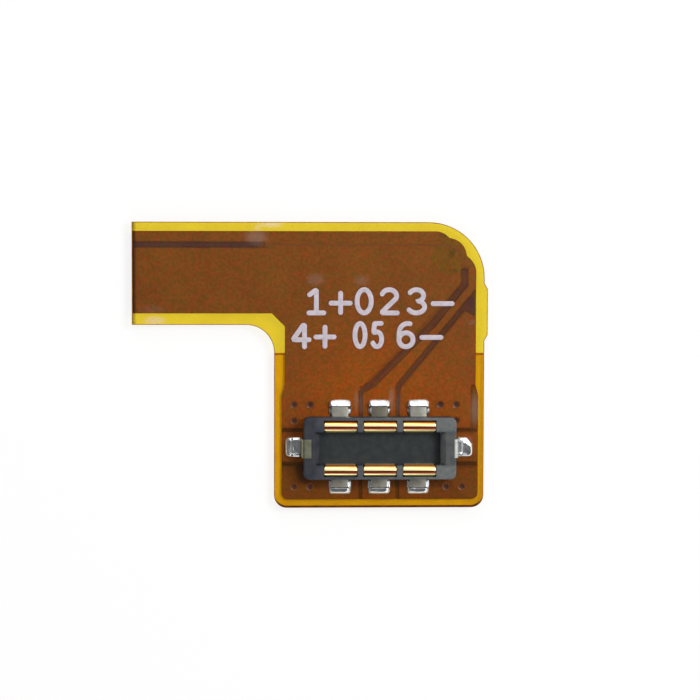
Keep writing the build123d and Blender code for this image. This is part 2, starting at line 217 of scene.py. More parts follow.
def addFloor(setup):
    half = setup["size"] / 2
    mesh = bpy.data.meshes.new("floor")
    corners = [(-half, -half), (half, -half), (half, half), (-half, half)]
    mesh.from_pydata([(x, y, -setup["drop"]) for x, y in corners], [], [(0, 1, 2, 3)])
    floor = bpy.data.objects.new("floor", mesh)
    bpy.context.scene.collection.objects.link(floor)
    material, tree = startMaterial("pale floor")[:2]
    path = addNode(tree, "ShaderNodeLightPath").outputs
    seen = addMath(tree, "MAXIMUM", path["Is Camera Ray"], path["Is Transmission Ray"])
    seen = addMath(tree, "MAXIMUM", seen, path["Is Glossy Ray"])
    glow = addNode(tree, "ShaderNodeEmission", {"Strength": setup["glow"]}).outputs[0]
    both = mixShader(tree, product(tree, seen, setup["glowShare"]), diffuse(tree, setup["colour"]), glow)
    mesh.materials.append(finishMaterial(material, tree, both))


addCamera(cameraSetup)
addLamps()
addSky(skySetup)
addFloor(floorSetup)
bpy.context.scene.view_settings.view_transform = "Standard"
bpy.context.scene.cycles.transparent_max_bounces = 48
print("stage: camera, lamps and floor")


# Materials

def noiseValue(tree, coords, cellMm, detail=2.0):
    return addNode(tree, "ShaderNodeTexNoise", {
        "Vector": coords, "Scale": 1 / (cellMm * mm), "Detail": detail,
    }).outputs["Fac"]


def rampColour(tree, value, stops):
    ramp = addNode(tree, "ShaderNodeValToRGB", {"Fac": value})
    elements = ramp.color_ramp.elements
    while len(elements) < len(stops):
        elements.new(0.5)
    for element, (place, colour) in zip(elements, stops):
        element.position = place
        element.color = (*colour, 1)
    return ramp.outputs["Color"]


def noiseColour(tree, coords, cellMm, colours, detail=3.0, stops=(0.3, 0.7)):
    return rampColour(tree, noiseValue(tree, coords, cellMm, detail), list(zip(stops, colours)))


def bumpNormal(tree, height, depthMm):
    return addNode(tree, "ShaderNodeBump", {
        "Height": height, "Distance": depthMm * mm, "Strength": 1.0,
    }).outputs["Normal"]


# the colour sockets of a Mix node stand behind its number and vector sockets
def mixColour(tree, factor, first, second):
    mix = addNode(tree, "ShaderNodeMix", {0: factor, 6: first, 7: second}, data_type="RGBA")
    return mix.outputs[2]


# the usual end of an opaque material, with a grain that raises its surface: cell and depth in mm
def finishSolid(material, tree, coords, colour, setup):
    cellMm, depthMm = setup["grain"]
    shader = addNode(tree, "ShaderNodeBsdfPrincipled", {
        "Base Color": colour, "Normal": bumpNormal(tree, noiseValue(tree, coords, cellMm), depthMm),
        "Roughness": setup["roughness"], "Metallic": setup.get("metal", 0.0),
        "Specular IOR Level": setup.get("specular", 0.5),
    })
    return finishMaterial(material, tree, shader.outputs[0])


# a soft spot in plan: 1 in its middle and 0 outside, with an eased rim
def softSpot(tree, coords, centre, reach, rim):
    flat = vectorMath(tree, "SUBTRACT", coords, (centre[0] * mm, centre[1] * mm, 0))
    flat = vectorMath(tree, "MULTIPLY", flat, (1 / (reach[0] * mm), 1 / (reach[1] * mm), 0))
    return easedRange(tree, vectorMath(tree, "LENGTH", flat, output="Value"), (1.0, rim))


# spots of one pigment over a colour: pixel, reach in mm, strength
def addSpots(tree, coords, colour, pigment, spots, rim):
    for pixel, reach, strength in spots:
        spot = softSpot(tree, coords, fromPixel(*pixel), reach, rim)
        colour = mixColour(tree, product(tree, spot, strength), colour, pigment)
    return colour


# a soft stroke in plan: 1 on the line between two places, and 0 past its half width
def softStroke(tree, coords, start, end, half, core):
    run = Vector((end[0] - start[0], end[1] - start[1], 0)) * mm
    reach = vectorMath(tree, "SUBTRACT", coords, (start[0] * mm, start[1] * mm, 0))
    reach = vectorMath(tree, "MULTIPLY", reach, (1, 1, 0))
    along = vectorMath(tree, "DOT_PRODUCT", reach, run / run.length_squared, "Value")
    along = addMath(tree, "ADD", along, 0.0, True)
    nearest = vectorMath(tree, "SCALE", run, along)
    far = vectorMath(tree, "DISTANCE", reach, nearest, "Value")
    return easedPast(tree, far, 0, (half, half * core))


# a place on the flex, in mm, from a pixel of the photograph
def fromPixel(u, v):
    centreU, centreV = photoSetup["centre"]
    pixel = photoSetup["pixelMm"]
    return connectorX + (u - centreU) * pixel, connectorY + (centreV - v) * pixel


filmSetup = {
    "faceTint": (0.974, 0.932, 0.570, 1),  # what one face of a film lets through
    "hazeColour": (0.62, 0.30, 0.03, 1),
    "haze": (0.0, 0.03),  # least and most, by a soft noise
    "hazeNoise": (0.3, 0.75),
    "gloss": 1.28,  # refractive index that the weak gloss is worked out from
    "roughness": 0.24,
    "waveMm": 1.3,
    "waveDepthMm": 0.006,
    "fineMm": 0.09,
    "fineShare": 0.05,
}
# marks in the cover film: milky spots and painted sheen, darker glue over the etched gaps and a darker end of
# the strip
coverSetup = {
    "milkAndSheen": (0.78, 0.62, 0.58, 1),
    "spotRim": 0.2,
    # the narrow, tall spots beside the etched gaps above the connector are painted sheen; the rest are milky
    # spots
    "spots": [  # pixel, reach in mm, strength
        ((256, 237), (0.60, 0.42), 0.10), ((271, 224), (0.62, 0.20), 0.36), ((258, 227), (0.24, 0.16), 0.22),
        ((155, 320), (0.60, 0.24), 0.32), ((153, 309), (0.70, 0.24), 0.03), ((315, 279), (0.50, 0.34), 0.06),
        ((361, 280), (0.44, 0.30), 0.05), ((475, 409), (0.24, 0.95), 0.10), ((356, 400), (0.12, 0.60), 0.08),
        ((391, 399), (0.16, 0.64), 0.10), ((472, 322), (0.26, 0.16), 0.05), ((361, 404), (0.15, 0.55), 0.06),
        ((398, 404), (0.15, 0.55), 0.05),
    ],
    "grooveDepth": (0.0045, 0.0115),  # mm under the face, from and to
    "grooveGlue": (0.055, 0.036, 0.095, 1),
    "grooveShare": 0.12,
    "lowGlue": (0.030, 0.012, 0.010, 1),  # beside and below the connector
    "lowGlueFrom": (1.35, 1.0),  # mm above the connector's centre
    # the strip is drawn darker towards its cut end
    "cutEndTone": (0.020, 0.006, 0.004, 1),
    "cutFrom": (0.22, 0.0),  # mm from the strip's end
    "cutStrength": 0.75,
}
# soft strokes over the etched gaps, brown ones that darken the gaps by the housing with painted shade and
# paint its shadow at its lower left, and one in the copper's tone that hides the hairline:
# the line's corners in the photograph's pixels, half width in mm, strength
strokeSetup = {
    "dark": (0.054, 0.028, 0.046, 1),
    "umber": (0.130, 0.037, 0.010, 1),
    "brown": (0.034, 0.014, 0.010, 1),
    "seam": (0.190, 0.064, 0.018, 1),
    "core": 0.25,  # share of the half width that has the full strength
    "strokes": [
        ("dark", [(126, 244.6), (256, 244.6)], 0.20, 0.24),
        ("umber", [(464.6, 268), (464.6, 284), (366, 387)], 0.22, 0.27),
        ("umber", [(468, 301), (401.7, 383)], 0.20, 0.27),
        ("dark", [(470, 300), (472, 309)], 0.20, 0.20),
        ("dark", [(360.5, 392), (360.5, 418)], 0.18, 0.14),
        ("dark", [(398.5, 388), (398.5, 418)], 0.18, 0.14),
        # brown: painted shade over the gaps beside and below the housing; the short stroke at its lower left
        # is its painted shadow
        ("brown", [(285, 430.5), (304, 430.5)], 0.30, 0.12),
        ("brown", [(285, 464.5), (304, 464.5)], 0.26, 0.12),
        ("brown", [(457, 430.5), (474, 430.5)], 0.20, 0.18),
        ("brown", [(457, 464.5), (474, 464.5)], 0.20, 0.18),
        ("brown", [(301, 468), (304, 478)], 0.34, 0.55),
        ("brown", [(310, 484), (450, 484)], 0.26, 0.20),
        ("seam", [(260, 244.6), (266, 244.6)], 0.18, 0.40),
        ("seam", [(266, 244.4), (444, 244.4), (452, 246.5), (459, 252), (463, 259), (464.5, 266)],
         0.055, 0.84),
    ],
}


def makeFilm(name, setup, cover=None):
    material, tree, coords = startMaterial(name)
    wave = noiseValue(tree, coords, setup["waveMm"])
    fine = noiseValue(tree, coords, setup["fineMm"])
    height = addMath(tree, "ADD", wave, product(tree, fine, setup["fineShare"]))
    normal = bumpNormal(tree, height, setup["waveDepthMm"])
    through = addNode(tree, "ShaderNodeBsdfTransparent", {"Color": setup["faceTint"]}).outputs[0]
    body = addNode(tree, "ShaderNodeBsdfDiffuse", {"Color": setup["hazeColour"], "Normal": normal}).outputs[0]
    sheet = mixShader(tree, mapRange(tree, wave, setup["hazeNoise"], setup["haze"]), through, body)
    outside = addMath(tree, "SUBTRACT", 1.0, addNode(tree, "ShaderNodeNewGeometry").outputs["Backfacing"])
    if cover:
        sheet = addCoverMarks(tree, coords, sheet, outside, cover)
    gloss = addNode(tree, "ShaderNodeBsdfAnisotropic", {
        "Color": (1, 1, 1, 1), "Roughness": setup["roughness"], "Normal": normal,
    }).outputs[0]
    fresnel = addNode(tree, "ShaderNodeFresnel", {"IOR": setup["gloss"], "Normal": normal}).outputs[0]
    return finishMaterial(material, tree, mixShader(tree, product(tree, fresnel, outside), sheet, gloss))


# each mark is painted on the upper face alone
def addCoverMarks(tree, coords, sheet, outside, setup):
    def paint(under, share, pigment):
        return mixShader(tree, product(tree, share, outside), under, pigment)

    milkAndSheen = diffuse(tree, setup["milkAndSheen"])
    for pixel, reach, strength in setup["spots"]:
        spot = softSpot(tree, coords, fromPixel(*pixel), reach, setup["spotRim"])
        sheet = paint(sheet, product(tree, spot, strength), milkAndSheen)
    for tone, line, half, strength in strokeSetup["strokes"]:
        for start, end in zip(line, line[1:]):
            band = softStroke(tree, coords, fromPixel(*start), fromPixel(*end), half, strokeSetup["core"])
            sheet = paint(sheet, product(tree, band, strength), diffuse(tree, strokeSetup[tone]))
    place = splitPlace(tree, coords)
    shallow, deep = ((faceZ - depth) * mm for depth in setup["grooveDepth"])
    groove = product(tree, addMath(tree, "LESS_THAN", place["Z"], shallow),
                     addMath(tree, "GREATER_THAN", place["Z"], deep))
    lowDown = easedPast(tree, place["Y"], connectorY, setup["lowGlueFrom"])
    glueTone = mixColour(tree, lowDown, setup["grooveGlue"], setup["lowGlue"])
    sheet = paint(sheet, product(tree, groove, setup["grooveShare"]), diffuse(tree, glueTone))
    nearCutEnd = easedPast(tree, place["X"], filmLow[0], setup["cutFrom"], (0.0, setup["cutStrength"]))
    return paint(sheet, nearCutEnd, diffuse(tree, setup["cutEndTone"]))


copperSetup = {
    "dull": (0.182, 0.053, 0.073),  # away from the connector
    "warm": (0.285, 0.058, 0.025),  # near the connector
    "warmFrom": (6.5, 1.5),  # mm from the connector's centre
    "cloudMm": 0.9,
    "cloudShare": 0.5,
    "olive": (0.150, 0.062, 0.040),  # the round pad at the corner
    "padPixel": (448.4, 256.3),
    "padReach": (0.78, 0.78),
    "padRim": 0.86,
    "padShare": 0.8,
    "stainAndShade": (0.045, 0.036, 0.050, 1),
    "stainAndShadeRim": 0.1,
    # stains on the round pad at the corner, and painted shade and shadow round the housing's left end and its
    # lower-left corner
    "stainsAndShade": [  # pixel, reach in mm, strength
        ((451, 253), (0.20, 0.34), 0.75), ((453, 270), (0.28, 0.11), 0.60), ((437, 249), (0.16, 0.14), 0.30),
        ((470, 258), (0.12, 0.18), 0.50), ((444, 235), (0.44, 0.14), 0.50), ((303, 472), (0.34, 0.44), 0.55),
        ((292, 431), (0.50, 0.30), 0.35), ((290, 468), (0.55, 0.50), 0.30), ((378, 236), (2.60, 0.16), 0.14),
    ],
    "lowerShade": 0.62,  # what is left of the colour below the connector
    "lowerFrom": (-0.9, 1.3),  # mm from the connector's centre
    "fleck": 0.17,  # how far fine red and green flecks go
    "fleckMm": 0.22,
    "speckle": (0.86, 1.16),  # the finest light and dark
    "speckleMm": 0.11,
    "speckleNoise": (0.32, 0.68),
    "grain": (0.05, 0.003),
    "metal": 0.35,
    "roughness": 0.55,
}


def makeCopper(name, setup, darker=1.0):
    material, tree, coords = startMaterial(name)
    dull, warm, olive = (tuple(darker * part for part in setup[key]) for key in ("dull", "warm", "olive"))
    centre = (connectorX * mm, connectorY * mm, faceZ * mm)
    warmth = easedPast(tree, vectorMath(tree, "DISTANCE", coords, centre, "Value"), 0, setup["warmFrom"])
    cloud = addMath(tree, "SUBTRACT", noiseValue(tree, coords, setup["cloudMm"], 4.0), 0.5)
    warmth = addMath(tree, "ADD", warmth, product(tree, cloud, setup["cloudShare"]), True)
    colour = rampColour(tree, warmth, [(0.0, dull), (1.0, warm)])
    pad = softSpot(tree, coords, fromPixel(*setup["padPixel"]), setup["padReach"], setup["padRim"])
    colour = mixColour(tree, product(tree, pad, setup["padShare"]), colour, (*olive, 1))
    colour = addSpots(tree, coords, colour, setup["stainAndShade"], setup["stainsAndShade"], setup["stainAndShadeRim"])
    fleck = setup["fleck"]
    fleckTones = [(1 - fleck, 1 + fleck, 1), (1 + fleck, 1 - fleck, 1)]
    flecks = noiseColour(tree, coords, setup["fleckMm"], fleckTones)
    height = splitPlace(tree, coords)["Y"]
    shade = easedPast(tree, height, connectorY, setup["lowerFrom"], (setup["lowerShade"], 1.0))
    speckle = noiseValue(tree, coords, setup["speckleMm"])
    speckle = easedRange(tree, speckle, setup["speckleNoise"], setup["speckle"])
    colour = vectorMath(tree, "MULTIPLY", colour, flecks)
    colour = vectorMath(tree, "SCALE", colour, product(tree, shade, speckle))
    return finishSolid(material, tree, coords, colour, setup)


# two colours and the cell in mm of the noise between them, grain, metal and roughness
plainFinishes = {
    "bright solder": ((0.80, 0.82, 0.84), (0.95, 0.96, 0.98), 0.25, (0.12, 0.008), 1.0, 0.20),
    # the left clip's tin is darker than the contact tails' tin: painted shade
    "tinned clip": ((0.25, 0.255, 0.175), (0.38, 0.385, 0.27), 0.3, (0.05, 0.002), 1.0, 0.38),
    "tinned clip, wet with solder": ((0.44, 0.45, 0.42), (0.66, 0.66, 0.64), 0.12, (0.05, 0.003), 0.8, 0.30),
    "amber stiffener board": ((0.50, 0.24, 0.06), (0.62, 0.31, 0.08), 0.9, (0.06, 0.004), 0.0, 0.5),
    "white legend ink": ((0.44, 0.39, 0.44), (0.57, 0.50, 0.55), 0.22, (0.05, 0.004), 0.0, 0.6),
}


def makePlain(name, low, high, cloudMm, grain, metal, roughness):
    material, tree, coords = startMaterial(name)
    setup = {"grain": grain, "metal": metal, "roughness": roughness}
    return finishSolid(material, tree, coords, noiseColour(tree, coords, cloudMm, (low, high)), setup)


# Contacts: a strip of sheet folded over the wall, with a groove pressed along its crown
contactShape = {
    "sheet": 0.10,
    "edge": 0.040,  # rounding of the strip's own edges
    "edgeSteps": 5,
    "width": 1.32,
    "tailWidth": 0.66,
    "crownWidth": 0.476,
    "crownFromCentre": 0.884,
    "wellFloor": 0.20,
    "tailBend": 0.11,
    "bond": 0.003,
    "tailRise": (0.22, 0.34),  # where the tail widens, above the film
    "grooveHalf": 0.060,
    "grooveDepth": 0.078,
    "grooveShift": -0.050,  # from the crown's middle, upwards in the photograph
    "cornerCut": 0.055,  # how much narrower the strip is past the crown
    "cutFrom": 0.55,  # where that begins, as a share of the crown's half width
    "blendTo": 0.6,  # share of the groove's depth that has its full colour
    "step": 0.009,
}
# across each crown, upwards in the photograph: greenish, pale, bright, then a thin coppery edge
contactFinish = {
    "bands": [
        (0.0, (0.72, 0.66, 0.22)), (0.26, (1.0, 0.94, 0.42)), (0.42, (1.0, 0.88, 0.42)),
        (0.76, (1.0, 0.84, 0.40)), (0.86, (1.0, 0.52, 0.10)), (0.95, (0.75, 0.14, 0.02)),
        (1.0, (0.50, 0.08, 0.02)),
    ],
    "bandHalf": 0.235,
    "plain": ((0.90, 0.62, 0.20), (1.0, 0.76, 0.30)),
    "crownFrom": (-0.22, -0.13),  # mm past the top, from plain gold to the bands
    "lowerBar": 0.40,  # share of the bands below the groove
    # painted shade: the upper row's lower bar is duller, and its dark coppery edge reaches further in where
    # its slot shades it
    "upperRowDim": 0.66,  # the lower bar of the upper row is duller
    "upperShift": 0.08,  # and its coppery edge reaches further in
    # painted shade in the groove along each crown
    "groove": (0.200, 0.022, 0.008, 1),
    "tin": ((0.50, 0.48, 0.38), (0.68, 0.67, 0.60)),
    "cloudMm": 0.2,
    "tailShade": (0.20, 0.17, 0.11, 1),
    "tailRim": 0.6,
    "tailShades": [((379, 412), (0.60, 0.50), 0.75), ((379, 484), (2.60, 0.60), 0.34)],  # pixel, mm, strength
    "goldFrom": (0.25, 0.35),  # mm above the film
    "grain": (0.06, 0.0003),
    "metal": 0.62,
    "roughness": 0.26,
}


def makeContactMetal(setup):
    material, tree, coords = startMaterial("gold plated contact")
    place = splitPlace(tree, coords)
    gilt = mapRange(tree, place["Z"], [(faceZ + height) * mm for height in setup["goldFrom"]])
    fromCentre = addMath(tree, "SUBTRACT", place["Y"], connectorY * mm)
    upper = addMath(tree, "GREATER_THAN", fromCentre, 0.0)
    row = contactShape["crownFromCentre"] * mm
    fromCrown = addMath(tree, "SUBTRACT", fromCentre, mapRange(tree, upper, (0.0, 1.0), (-row, row)))
    reach = setup["bandHalf"] * mm
    across = mapRange(tree, fromCrown, (-reach, reach))
    shifted = addMath(tree, "ADD", across, product(tree, upper, setup["upperShift"]))
    lowerBar = product(tree, addMath(tree, "LESS_THAN", across, setup["lowerBar"]), upper)
    dimmed = mapRange(tree, lowerBar, (0.0, 1.0), (1.0, setup["upperRowDim"]))
    gold = vectorMath(tree, "SCALE", rampColour(tree, shifted, setup["bands"]), dimmed)
    # the groove is darkened by painted shade, as deep as the strip is pressed in
    groove = addNode(tree, "ShaderNodeAttribute", attribute_name="blend").outputs["Fac"]
    gold = mixColour(tree, groove, gold, setup["groove"])
    plain, tin = (noiseColour(tree, coords, setup["cloudMm"], setup[key], 2.0) for key in ("plain", "tin"))
    gold = mixColour(tree, easedPast(tree, place["Z"], housingHigh[2], setup["crownFrom"]), plain, gold)
    tin = addSpots(tree, coords, tin, setup["tailShade"], setup["tailShades"], setup["tailRim"])
    return finishSolid(material, tree, coords, mixColour(tree, gilt, tin, gold), setup)


# dark and matt in the well, by painted shade, and paler along the tops of the long walls and towards the
# right end, by painted light
plasticFinish = {
    "well": (0.026, 0.032, 0.034, 1),
    "leftTop": (0.028, 0.031, 0.039, 1),
    "rightTop": (0.072, 0.078, 0.076, 1),
    "topFrom": (0.40, 0.72),  # mm above the film
    "longWall": 1.65,  # how much paler the long walls are
    "wallFromMiddle": (0.60, 0.80),  # where they begin, in mm
    "wallFromLeft": (0.25, 0.90),
    "mottle": ((0.72, 0.80, 0.92), (1.30, 1.22, 1.12)),
    "mottleMm": 0.30,
    "grain": (0.05, 0.003),
    "roughness": 0.55,
    "specular": 0.22,
}


def makePlastic(setup):
    material, tree, coords = startMaterial("dark moulded plastic")
    place = splitPlace(tree, coords)
    rightwards = easedRange(tree, place["X"], (housingLow[0] * mm, housingHigh[0] * mm))
    top = mixColour(tree, rightwards, setup["leftTop"], setup["rightTop"])
    upwards = easedPast(tree, place["Z"], faceZ, setup["topFrom"])
    colour = mixColour(tree, upwards, setup["well"], top)
    fromMiddle = addMath(tree, "ABSOLUTE", addMath(tree, "SUBTRACT", place["Y"], connectorY * mm), 0.0)
    onWall = product(tree, easedPast(tree, fromMiddle, 0, setup["wallFromMiddle"]),
                     easedPast(tree, place["X"], housingLow[0], setup["wallFromLeft"]), upwards)
    mottle = noiseColour(tree, coords, setup["mottleMm"], setup["mottle"], 4.0, (0.32, 0.68))
    colour = vectorMath(tree, "MULTIPLY", colour, mottle)
    colour = vectorMath(tree, "SCALE", colour, easedRange(tree, onWall, (0.0, 1.0), (1.0, setup["longWall"])))
    return finishSolid(material, tree, coords, colour, setup)


# opaque on the upper face, and clear enough below it for light to pass through the cut
scorchFinish = {
    "pale": ((0.20, 0.062, 0.014), (0.42, 0.17, 0.024)),
    "dark": ((0.070, 0.016, 0.004), (0.17, 0.048, 0.008)),
    "cloudMm": 0.4,
    "darkFrom": (0.5, 0.1),  # mm above the lower edge
    "coverFrom": (-0.004, 0.0),  # mm past the upper face
    "cover": (0.18, 0.92),  # how opaque it is there
    "clear": (0.97, 0.90, 0.70, 1),
}


def makeScorch(setup):
    material, tree, coords = startMaterial("scorched cut edge")
    place = splitPlace(tree, coords)
    onTop = easedPast(tree, place["Z"], faceZ, setup["coverFrom"], setup["cover"])
    pale, dark = (noiseColour(tree, coords, setup["cloudMm"], setup[key]) for key in ("pale", "dark"))
    low = easedPast(tree, place["Y"], filmLow[1], setup["darkFrom"])
    body = diffuse(tree, mixColour(tree, low, pale, dark))
    clear = addNode(tree, "ShaderNodeBsdfTransparent", {"Color": setup["clear"]}).outputs[0]
    return finishMaterial(material, tree, mixShader(tree, onTop, clear, body))


# tan glue with a darker bead along its upper edge, where it oozed past the stiffener, together with the
# painted shadow of the stiffener's edge
glueFinish = {
    "tan": ((0.95, 0.75, 0.56), (0.99, 0.85, 0.64)),
    "cloudMm": 0.7,
    "beadAndShadow": (0.52, 0.22, 0.06, 1),
    "beadAndShadowFrom": (-0.10, -0.05),  # mm past the stiffener's upper edge
    "grain": (0.08, 0.003),
    "roughness": 0.6,
}


def makeGlue(setup):
    material, tree, coords = startMaterial("tan adhesive")
    beadAndShadow = easedPast(tree, splitPlace(tree, coords)["Y"], padTop, setup["beadAndShadowFrom"])
    colour = mixColour(tree, beadAndShadow, noiseColour(tree, coords, setup["cloudMm"], setup["tan"]), setup["beadAndShadow"])
    return finishSolid(material, tree, coords, colour, setup)


# dark in the middle, for the glue in the via and the painted shade of its hollow, and the copper's tone at
# the rim
dimpleFinish = {
    "middle": ((0.038, 0.016, 0.011), (0.070, 0.024, 0.012)),
    "cloudMm": 0.12,
    "rim": (0.205, 0.056, 0.012, 1),
    "grain": (0.05, 0.002),
    "roughness": 0.36,
    "specular": 0.16,
}


def makeDimpleFillAndShade(setup):
    material, tree, coords = startMaterial("dark via dimple")
    middle = noiseColour(tree, coords, setup["cloudMm"], setup["middle"])
    rim = addNode(tree, "ShaderNodeAttribute", attribute_name="blend").outputs["Fac"]
    return finishSolid(material, tree, coords, mixColour(tree, rim, middle, setup["rim"]), setup)


coverFilm = makeFilm("amber cover film", filmSetup, coverSetup)
backFilm = makeFilm("amber back film", filmSetup)
baseFilm = makeFilm("amber base film", filmSetup)
copper = makeCopper("copper under film", copperSetup)
backCopper = makeCopper("back copper", copperSetup, darker=0.55)
contactMetal = makeContactMetal(contactFinish)
plastic = makePlastic(plasticFinish)
plain = [makePlain(name, *values) for name, values in plainFinishes.items()]
solder, tin, wetTin, stiffenerBoard, ink = plain
glue = makeGlue(glueFinish)
scorch = makeScorch(scorchFinish)
dimpleFillAndShade = makeDimpleFillAndShade(dimpleFinish)

finishes = {
    "base_film": baseFilm, "top_cover_film": coverFilm, "back_cover_film": backFilm,
    "stiffener": stiffenerBoard, "stiffener_adhesive": glue, "via_barrels": copper,
    "connector_housing": plastic, "clip_left": tin, "clip_right": wetTin,
    "copper": copper, "back_copper": backCopper, "contact": contactMetal, "solder": solder,
}

# a node takes the finish of the longest name above that its own name starts with
for name, node in nodes.items():
    node.data.materials.clear()
    node.data.materials.append(finishes[max(filter(name.startswith, finishes), key=len)])
print("materials: %d" % len(bpy.data.materials))


# Shapes

samePlace = 1e-8  # metres within which two points are one


def newObject(name, mesh, material):
    mesh.materials.clear()
    mesh.materials.append(material)
    piece = bpy.data.objects.new(name, mesh)
    bpy.context.scene.collection.objects.link(piece)
    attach(piece, "root")
    return piece


# joins the points at one place, changes the mesh by the given step and shades it smooth between sharp edges
def cleanMesh(mesh, step, sharpAngle):
    shell = bmesh.new()
    shell.from_mesh(mesh)
    bmesh.ops.remove_doubles(shell, verts=shell.verts, dist=samePlace)
    step(shell)
    shell.to_mesh(mesh)
    shell.free()
    mesh.polygons.foreach_set("use_smooth", [True] * len(mesh.polygons))
    mesh.set_sharp_from_angle(angle=math.radians(sharpAngle))


# a closed skin through a grid of points, rows along the piece and columns round it;
# the rows either join up end to end or are closed by a flat face at each end
def skin(name, grid, material, sharpAngle, loop=False, blend=None):
    rows, columns = grid.shape[:2]
    row, column = np.meshgrid(np.arange(rows if loop else rows - 1), np.arange(columns), indexing="ij")
    after, beside = (row + 1) % rows, (column + 1) % columns
    quads = np.stack([row * columns + column, row * columns + beside,
                      after * columns + beside, after * columns + column], axis=-1).reshape(-1, 4)
    faces = quads.tolist()
    if not loop:
        faces.append(list(range(columns))[::-1])
        faces.append([(rows - 1) * columns + number for number in range(columns)])
    mesh = bpy.data.meshes.new(name)
    mesh.from_pydata((grid.reshape(-1, 3) * mm).tolist(), [], faces)
    if blend is not None:
        mesh.attributes.new("blend", "FLOAT", "POINT").data.foreach_set("value", blend.ravel())
    cleanMesh(mesh, lambda shell: bmesh.ops.recalc_face_normals(shell, faces=shell.faces), sharpAngle)
    return newObject(name, mesh, material)


# a line through the corners, with each inner corner replaced by an arc that is tangent to both its sides,
# then walked at even steps; returns the points and the direction at each
def roundedLine(corners, radii, step, closed=False, arcSteps=17):
    corners = np.asarray(corners, float)
    stretches = [] if closed else [corners[:1]]
    count = len(corners)
    inner = range(count) if closed else range(1, count - 1)
    for place, radius in zip(inner, radii):
        corner = corners[place]
        before, after = corners[place - 1] - corner, corners[(place + 1) % count] - corner
        before, after = before / np.hypot(*before), after / np.hypot(*after)
        half = math.acos(np.clip(before @ after, -1, 1)) / 2
        reach = radius / math.tan(half)
        middle = (before + after) / np.hypot(*(before + after))
        centre = corner + middle * radius / math.sin(half)
        start, end = corner + before * reach - centre, corner + after * reach - centre
        turn = math.atan2(start[0] * end[1] - start[1] * end[0], start @ end)
        angle = math.atan2(start[1], start[0]) + np.linspace(0, turn, arcSteps)
        stretches.append(centre + radius * np.stack([np.cos(angle), np.sin(angle)], axis=1))
    stretches.append(stretches[0][:1] if closed else corners[-1:])
    line = np.concatenate(stretches)
    run = np.concatenate([[0], np.cumsum(np.hypot(*np.diff(line, axis=0).T))])
    walk = np.linspace(0, run[-1], max(3, int(run[-1] / step) + 1))
    if closed:
        walk = walk[:-1]
    points = np.stack([np.interp(walk, run, line[:, axis]) for axis in (0, 1)], axis=1)
    longer = np.pad(points, ((1, 1), (0, 0)), "wrap" if closed else "edge")
    direction = longer[2:] - longer[:-2]
    return points, direction / np.hypot(*direction.T)[:, None]


def smoothStep(value, low, high):
    share = np.clip((value - low) / (high - low), 0, 1)
    return share * share * (3 - 2 * share)


# Contacts: the section is a rounded rectangle across the strip, carried along the folded line;
# the groove lowers the outer side by a half ellipse of the distance from the crown's middle
def makeContact(name, shape):
    low, high = boxMm(name)
    side = 1 if (low[1] + high[1]) / 2 > connectorY else -1
    centreX = (low[0] + high[0]) / 2
    tailEnd = max(abs(low[1] - connectorY), abs(high[1] - connectorY))
    crown, edge, steps = shape["crownFromCentre"], shape["edge"], shape["edgeSteps"]
    half = shape["sheet"] / 2
    fold = (shape["crownWidth"] - shape["sheet"]) / 2
    outer, inner = crown + fold, crown - fold
    corners = [(tailEnd, faceZ + half), (outer, faceZ + half), (outer, high[2] - half),
               (inner, high[2] - half), (inner, faceZ + shape["wellFloor"])]
    radii = [shape["tailBend"], fold - shape["bond"], fold - shape["bond"]]
    points, direction = roundedLine(corners, radii, shape["step"])
    outward = np.stack([direction[:, 1], -direction[:, 0]], axis=1)
    away, up = points.T
    onLeg = (away < outer + half) & (up > faceZ + half) | (away < outer - half)
    rise = np.where(onLeg & (away > crown), up, 0)
    rise = np.where(away <= crown, high[2], rise)
    widen = smoothStep(rise - faceZ, *shape["tailRise"])
    reach = (shape["tailWidth"] + (shape["width"] - shape["tailWidth"]) * widen) / 2 - edge
    pastCrown = smoothStep(np.abs(away - crown), shape["cutFrom"] * fold, fold)
    reach = reach - shape["cornerCut"] * widen * pastCrown
    fromCrown = np.abs(away - crown - side * shape["grooveShift"]) / shape["grooveHalf"]
    groove = shape["grooveDepth"] * np.sqrt(np.clip(1 - fromCrown ** 2, 0, 1)) * (rise > high[2] - 2 * fold)
    quarter = np.linspace(0, math.pi / 2, steps)
    angle = np.concatenate([quarter + turn * math.pi / 2 for turn in range(4)])
    cornerX = np.repeat([1, -1, -1, 1], steps)
    cornerZ = np.repeat([1, 1, -1, -1], steps)
    across = reach[:, None] * cornerX + edge * np.cos(angle)
    upward = (half - edge) * cornerZ + edge * np.sin(angle)
    upward = upward[None, :] - groove[:, None] * (cornerZ > 0)
    place = points[:, None, :] + outward[:, None, :] * upward[:, :, None]
    grid = np.stack([centreX + across, connectorY + side * place[:, :, 0], place[:, :, 1]], axis=-1)
    hollow = (groove / shape["grooveDepth"])[:, None] * (cornerZ > 0)
    blend = smoothStep(hollow, 0.0, shape["blendTo"])
    piece = skin(name + "Strip", grid, contactMetal, sharpAngle=50, blend=blend)
    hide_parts(name)


for number in range(1, 7):
    makeContact("contact_%d" % number, contactShape)
print("contacts: folded strips")


